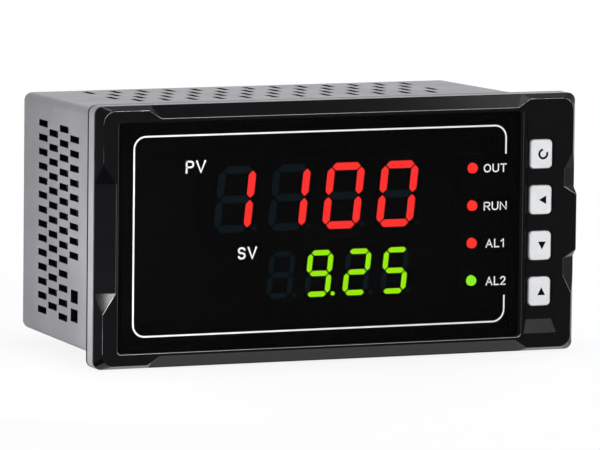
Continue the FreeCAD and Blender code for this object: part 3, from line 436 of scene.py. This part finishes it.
def pressGasket():
    shape = bmesh.new()
    shape.from_mesh(nodes["panel_gasket"].data)
    bmesh.ops.remove_doubles(shape, verts=shape.verts, dist=weld)
    wide = gasket["rimWide"] * mm
    tall = gasket["rimTall"] * mm
    rim = [v for v in shape.verts if abs(v.co.x) > wide or abs(v.co.z) > tall]
    for side, level in ((-1, -1), (-1, 1), (1, -1), (1, 1)):
        corner = [v for v in rim if v.co.x * side > 0 and v.co.z * level > 0]
        out = Vector((side, 0, level)) * gasket["press"] * mm
        bmesh.ops.translate(shape, verts=corner, vec=out)
    return meshFrom(shape, "panel_gasket_pressed")


gasketRubber = moulded("gasketRubber", gasketLook)
dress(gasketRubber, "panel_gasket")
seal = newPiece("panel_gasket_pressed", pressGasket(), gasketRubber, "housing")
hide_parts("panel_gasket")
print("gasket pressed out")


# Smoked window

windowLook = {"colours": ((6, 6, 7), (8, 8, 9)), "drift": 40, "grain": 900, "roughness": (0.12, 0.18),
              "specular": 0.035, "alpha": 0.53}


def smoked(name, look):
    finish = moulded(name, look)
    finish.node_tree.nodes["Principled BSDF"].inputs["Alpha"].default_value = look["alpha"]
    return finish


dress(smoked("windowSmoke", windowLook), "display_window")
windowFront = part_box("display_window")[0].y
print("window dressed")


# Print on the window: a rounded border with a gap beside the lamp names, and the row and lamp names

printLook = {"colours": ((244, 245, 247), (250, 250, 251)), "drift": 400, "grain": 3000, "relief": 0.000005,
             "roughness": (0.45, 0.6), "specular": 0.3}
border = {"left": -68.15, "right": 55.5, "top": 30.7, "bottom": -30.15, "corner": 3.8, "line": 0.5,
          "gapTop": 21.9, "gapBottom": -22.0, "thick": 0.04, "cornerSteps": 10}
lettering = {"line": 0.145, "gap": 0.15, "point": 1.6, "bendSteps": 12}
labels = {
    "label_pv": {"text": "PV", "left": -51.3, "right": -44.7, "top": 23.0, "bottom": 19.15},
    "label_sv": {"text": "SV", "left": -34.0, "right": -27.6, "top": -3.95, "bottom": -7.75},
    "label_out": {"text": "OUT", "left": 48.0, "right": 55.8, "top": 18.9, "bottom": 16.25},
    "label_run": {"text": "RUN", "left": 48.2, "right": 56.0, "top": 7.15, "bottom": 4.5},
    "label_al1": {"text": "AL1", "left": 49.0, "right": 55.4, "top": -4.4, "bottom": -7.1},
    "label_al2": {"text": "AL2", "left": 49.2, "right": 56.0, "top": -16.1, "bottom": -18.85},
}


def middleOf(stroke):
    return sum((v.co for v in stroke[0].verts), Vector()) / 2


def runOn(shape, stroke, step):
    grown = bmesh.ops.extrude_edge_only(shape, edges=stroke)["geom"]
    bmesh.ops.translate(shape, verts=pointsIn(grown), vec=step)
    return edgesIn(grown)


def makeBorder():
    half = Vector((border["line"] * mm / 2, 0, 0))
    bend = border["corner"] * mm
    shape = bmesh.new()
    start = Vector((border["right"] * mm, windowFront, border["gapTop"] * mm))
    stroke = [shape.edges.new([shape.verts.new(start - half), shape.verts.new(start + half)])]
    corners = (("right", "top"), ("left", "top"), ("left", "bottom"), ("right", "bottom"))
    for count, (side, level) in enumerate(corners):
        # A straight run up to the corner, then a quarter turn round its centre
        inward = bend if side == "left" else -bend
        down = -bend if level == "top" else bend
        centre = Vector((border[side] * mm + inward, windowFront, border[level] * mm + down))
        along = 2 if count % 2 == 0 else 0
        step = Vector()
        step[along] = centre[along] - middleOf(stroke)[along]
        stroke = runOn(shape, stroke, step)
        swept = bmesh.ops.spin(shape, geom=stroke + list(stroke[0].verts), cent=centre, axis=(0, -1, 0),
                               angle=math.radians(90), steps=border["cornerSteps"])
        stroke = edgesIn(swept["geom_last"])
    runOn(shape, stroke, Vector((0, 0, border["gapBottom"] * mm - middleOf(stroke).z)))
    bmesh.ops.remove_doubles(shape, verts=shape.verts, dist=weld)
    thicken(shape, -border["thick"] * mm)
    return meshFrom(shape, "window_border")


def bent(x, z, wide, tall, start, end):
    # Points on part of an ellipse, angles in degrees
    steps = lettering["bendSteps"]
    turns = [math.radians(start + (end - start) * i / steps) for i in range(steps + 1)]
    return [(x + wide * math.cos(t), z + tall * math.sin(t)) for t in turns]


# Strokes of each sign as middle lines in a unit box, with the sign's width to its height
bowl = [(0, 1), (0.6, 1), *bent(0.6, 0.735, 0.4, 0.265, 80, -80), (0.6, 0.47), (0, 0.47)]
glyphs = {
    "P": (0.64, [[(0, 0), (0, 1)], bowl]),
    "V": (0.76, [[(0, 1), (0.5, 0), (1, 1)]]),
    "S": (0.66, [bent(0.5, 0.745, 0.46, 0.255, 18, 235) + bent(0.5, 0.265, 0.48, 0.265, 58, -160)]),
    "O": (0.82, [bent(0.5, 0.5, 0.5, 0.5, 0, 360)]),
    "U": (0.72, [[(0, 1), *bent(0.5, 0.34, 0.5, 0.34, 180, 360), (1, 1)]]),
    "T": (0.68, [[(0, 1), (1, 1)], [(0.5, 1), (0.5, 0)]]),
    "R": (0.7, [[(0, 0), (0, 1)], bowl, [(0.5, 0.47), (1, 0)]]),
    "N": (0.74, [[(0, 0), (0, 1), (1, 0), (1, 1)]]),
    "A": (0.76, [[(0, 0), (0.5, 1), (1, 0)], [(0.18, 0.34), (0.82, 0.34)]]),
    "L": (0.54, [[(0, 1), (0, 0), (1, 0)]]),
    "1": (0.4, [[(0, 0.76), (0.8, 1), (0.8, 0)]]),
    "2": (0.62, [[*bent(0.5, 0.715, 0.47, 0.285, 165, -40), (0, 0), (1, 0)]]),
}


def addStroke(shape, points, line):
    # A ribbon along the points, with mitred bends and square ends
    closed = (points[0] - points[-1]).length < weld
    if not closed:
        points[0] += (points[0] - points[1]).normalized() * line / 2
        points[-1] += (points[-1] - points[-2]).normalized() * line / 2
    rails = []
    for count, point in enumerate(points):
        before = points[count - 1] if count else (points[-2] if closed else None)
        after = points[count + 1] if count + 1 < len(points) else (points[1] if closed else None)
        ends = ((before, point), (point, after))
        runs = [(q - p).normalized() for p, q in ends if p is not None and q is not None]
        sides = [Vector((-run.z, 0, run.x)) for run in runs]
        side = sum(sides, Vector()).normalized()
        reach = min(1 / side.dot(sides[0]), lettering["point"]) * line / 2
        rails.append([shape.verts.new(point + side * reach), shape.verts.new(point - side * reach)])
    for (a, b), (c, d) in zip(rails, rails[1:]):
        shape.faces.new((a, b, d, c))


def makeLabel(name, label):
    tall = (label["top"] - label["bottom"]) * mm
    line = lettering["line"] * tall
    widths = [glyphs[sign][0] for sign in label["text"]]
    unit = (label["right"] - label["left"]) * mm / (sum(widths) + lettering["gap"] * (len(widths) - 1))
    shape = bmesh.new()
    left = label["left"] * mm
    foot = label["bottom"] * mm + line / 2
    for sign, width in zip(label["text"], widths):
        for stroke in glyphs[sign][1]:
            points = [Vector((left + line / 2 + x * (width * unit - line), windowFront,
                              foot + z * (tall - line))) for x, z in stroke]
            addStroke(shape, points, line)
        left += (width + lettering["gap"]) * unit
    thicken(shape, -border["thick"] * mm)
    return meshFrom(shape, name)


printWhite = moulded("printWhite", printLook)
newPiece("window_border", makeBorder(), printWhite, "housing")
for name, label in labels.items():
    newPiece(name, makeLabel(name, label), printWhite, "housing")
print("window printed")


# Signs on the keys

signLook = {"colours": ((5, 5, 6), (9, 9, 10)), "drift": 400, "grain": 3000, "relief": 0.000005,
            "roughness": (0.45, 0.6), "specular": 0.03}
signs = {"shift": 0.5, "thick": 0.03, "ringRadius": 1.34, "ringLine": 0.68, "ringStart": 95, "ringTurn": 290,
         "ringSteps": 40, "arrowWide": 2.65, "arrowTall": 2.45, "turns": {"left": 90, "down": 180, "up": 0}}


def drawRing(shape):
    reach = Vector((0, 0, signs["ringRadius"] * mm))
    half = Vector((0, 0, signs["ringLine"] * mm / 2))
    stroke = shape.edges.new([shape.verts.new(reach - half), shape.verts.new(reach + half)])
    turn = Matrix.Rotation(math.radians(90 - signs["ringStart"]), 3, "Y")
    bmesh.ops.rotate(shape, verts=shape.verts, cent=(0, 0, 0), matrix=turn)
    bmesh.ops.spin(shape, geom=[stroke, *stroke.verts], cent=(0, 0, 0), axis=(0, -1, 0),
                   angle=math.radians(signs["ringTurn"]), steps=signs["ringSteps"])


def drawArrow(shape, turned):
    wide = signs["arrowWide"] * mm / 2
    tall = signs["arrowTall"] * mm / 2
    shape.faces.new([shape.verts.new(c) for c in ((-wide, 0, -tall), (wide, 0, -tall), (0, 0, tall))])
    turn = Matrix.Rotation(math.radians(-turned), 3, "Y")
    bmesh.ops.rotate(shape, verts=shape.verts, cent=(0, 0, 0), matrix=turn)


def makeSign(name):
    low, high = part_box("key_" + name)
    spot = Vector(((low.x + high.x) / 2 + signs["shift"] * mm, low.y, (low.z + high.z) / 2))
    shape = bmesh.new()
    if name == "cycle":
        drawRing(shape)
    else:
        drawArrow(shape, signs["turns"][name])
    bmesh.ops.translate(shape, verts=shape.verts, vec=spot)
    thicken(shape, -signs["thick"] * mm)
    return meshFrom(shape, "sign_" + name)


signBlack = moulded("signBlack", signLook)
for name in ("cycle", "left", "down", "up"):
    newPiece("sign_" + name, makeSign(name), signBlack, "key_" + name)
print("key signs printed")


# Floor and studio

stageSet = {"floor": 4.0, "tiles": 8, "grey": 0.9, "shade": 0.16, "shadeReach": 0.32, "world": 0.22,
            "gap": 0.0003}
white = (1, 1, 1, 1)


def whiteToEye(tree):
    # White to the eye and in reflections, and a plain surface or light for everything else
    path = tree.nodes.new("ShaderNodeLightPath")
    seen = counted(tree, "MAXIMUM", path.outputs["Is Camera Ray"], path.outputs["Is Glossy Ray"])
    return counted(tree, "MAXIMUM", seen, path.outputs["Is Transmission Ray"])


def makeFloor():
    shape = bmesh.new()
    tiles = stageSet["tiles"]
    bmesh.ops.create_grid(shape, x_segments=tiles, y_segments=tiles, size=stageSet["floor"])
    bmesh.ops.translate(shape, verts=shape.verts, vec=(0, 0, cadBox[0].z - stageSet["gap"]))
    floor = bpy.data.objects.new("floor", meshFrom(shape, "floor"))
    scene.collection.objects.link(floor)
    finish = bpy.data.materials.new("floorPale")
    finish.use_nodes = True
    tree = finish.node_tree
    tree.nodes.clear()
    matt = tree.nodes.new("ShaderNodeBsdfDiffuse")
    glow = tree.nodes.new("ShaderNodeEmission")
    mix = tree.nodes.new("ShaderNodeMixShader")
    ending = tree.nodes.new("ShaderNodeOutputMaterial")
    matt.inputs["Color"].default_value = (stageSet["grey"], stageSet["grey"], stageSet["grey"], 1)
    glow.inputs["Color"].default_value = white
    # The white gives way round the part, so that its shadow shows
    place = tree.nodes.new("ShaderNodeTexCoord")
    scale = tree.nodes.new("ShaderNodeMapping")
    pool = tree.nodes.new("ShaderNodeTexGradient")
    scale.inputs["Scale"].default_value = (1 / stageSet["shadeReach"], 1 / stageSet["shadeReach"], 0)
    pool.gradient_type = "SPHERICAL"
    tree.links.new(place.outputs["Object"], scale.inputs["Vector"])
    tree.links.new(scale.outputs["Vector"], pool.inputs["Vector"])
    fade = counted(tree, "MULTIPLY_ADD", pool.outputs["Fac"], -stageSet["shade"], 1.0)
    tree.links.new(counted(tree, "MULTIPLY", whiteToEye(tree), fade), mix.inputs["Fac"])
    tree.links.new(matt.outputs["BSDF"], mix.inputs[1])
    tree.links.new(glow.outputs["Emission"], mix.inputs[2])
    tree.links.new(mix.outputs["Shader"], ending.inputs["Surface"])
    floor.data.materials.append(finish)


def makeWorld():
    world = bpy.data.worlds.new("studio")
    scene.world = world
    world.use_nodes = True
    tree = world.node_tree
    soft = tree.nodes["Background"]
    plain = tree.nodes.new("ShaderNodeBackground")
    mix = tree.nodes.new("ShaderNodeMixShader")
    soft.inputs["Color"].default_value = white
    soft.inputs["Strength"].default_value = stageSet["world"]
    plain.inputs["Color"].default_value = white
    tree.links.new(whiteToEye(tree), mix.inputs["Fac"])
    tree.links.new(soft.outputs["Background"], mix.inputs[1])
    tree.links.new(plain.outputs["Background"], mix.inputs[2])
    tree.links.new(mix.outputs["Shader"], tree.nodes["World Output"].inputs["Surface"])


makeFloor()
makeWorld()
print("floor and studio set")


# Lamps: a matt one makes no gleam, and a glint is only the gleam on the bezel

lamps = {
    "keyLight": {"place": (0.1, -1.0, 0.5), "aim": (0, 0, 0), "size": (0.6, 0.4), "power": 4.6},
    "topLight": {"place": (-0.02, 0.02, 0.5), "aim": (-0.02, 0.03, 0), "size": (0.1, 0.3), "power": 1.3},
    "sideLight": {"place": (-0.17, -0.06, -0.02), "aim": (-0.075, 0.02, 0), "size": (0.1, 0.03),
                  "power": 0.165, "matt": True},
    "backLight": {"place": (0.8, 0.7, 0.45), "aim": (0, 0.05, 0), "size": (0.5, 0.5),
                  "power": 7.5, "matt": True},
    "facetLight": {"place": (-0.087, -0.0328, -0.006), "aim": (-0.074, -0.0088, -0.0183),
                   "size": (0.005, 0.007), "power": 0.0005, "glint": True, "cone": 34},
    "slopeLight": {"place": (0.47, -0.97, 0.52), "aim": (0, 0, 0), "size": (0.22, 0.22),
                   "power": 2.4, "glint": True},
    "bandLight": {"place": (0.233, -0.144, 0.329), "aim": (0.095, -0.007, 0.036), "size": (0.05, 0.1),
                  "power": 0.15, "glint": True},
}
gleaming = bpy.data.collections.new("gleaming")
gleaming.objects.link(nodes["front_bezel"])


def makeLamp(name, lamp):
    light = bpy.data.lights.new(name, "AREA")
    light.shape = "RECTANGLE"
    light.size, light.size_y = lamp["size"]
    light.energy = lamp["power"]
    if "cone" in lamp:
        light.spread = math.radians(lamp["cone"])
    holder = bpy.data.objects.new(name, light)
    holder.location = lamp["place"]
    holder.visible_glossy = not lamp.get("matt", False)
    if lamp.get("glint"):
        holder.visible_diffuse = False
        holder.light_linking.receiver_collection = gleaming
    beam = Vector(lamp["aim"]) - Vector(lamp["place"])
    holder.rotation_euler = beam.to_track_quat("-Z", "Y").to_euler()
    scene.collection.objects.link(holder)


for name, lamp in lamps.items():
    makeLamp(name, lamp)
print("lamps set")


# Camera, fitted to the photo: distance in millimetres, focal length and slides in pixels, far end in metres

photoCamera = {"yaw": 23.416, "pitch": 6.472, "roll": 0.632, "focal": 7032.5, "distance": 2157.4,
               "frame": 600, "slideX": -29.42, "slideY": 2.5, "sensor": 36.0, "farEnd": 50}


def makeCamera():
    yaw, pitch, roll = (math.radians(photoCamera[k]) for k in ("yaw", "pitch", "roll"))
    ahead = Vector((math.sin(yaw) * math.cos(pitch), math.cos(yaw) * math.cos(pitch), -math.sin(pitch)))
    right = Vector((math.cos(yaw), -math.sin(yaw), 0))
    up = right.cross(ahead)
    tiltedRight = right * math.cos(roll) + up * math.sin(roll)
    tiltedUp = up * math.cos(roll) - right * math.sin(roll)
    perPixel = photoCamera["distance"] / photoCamera["focal"] * mm
    view = bpy.data.cameras.new("photoCamera")
    view.sensor_width = photoCamera["sensor"]
    view.lens = photoCamera["focal"] * photoCamera["sensor"] / photoCamera["frame"]
    view.clip_end = photoCamera["farEnd"]
    eye = bpy.data.objects.new("photoCamera", view)
    turn = Matrix((tiltedRight, tiltedUp, -ahead)).transposed()
    place = ahead * (-photoCamera["distance"] * mm)
    place += tiltedRight * (photoCamera["slideX"] * perPixel) + tiltedUp * (photoCamera["slideY"] * perPixel)
    eye.matrix_world = Matrix.Translation(place) @ turn.to_4x4()
    scene.collection.objects.link(eye)
    scene.camera = eye


makeCamera()
print("camera set")
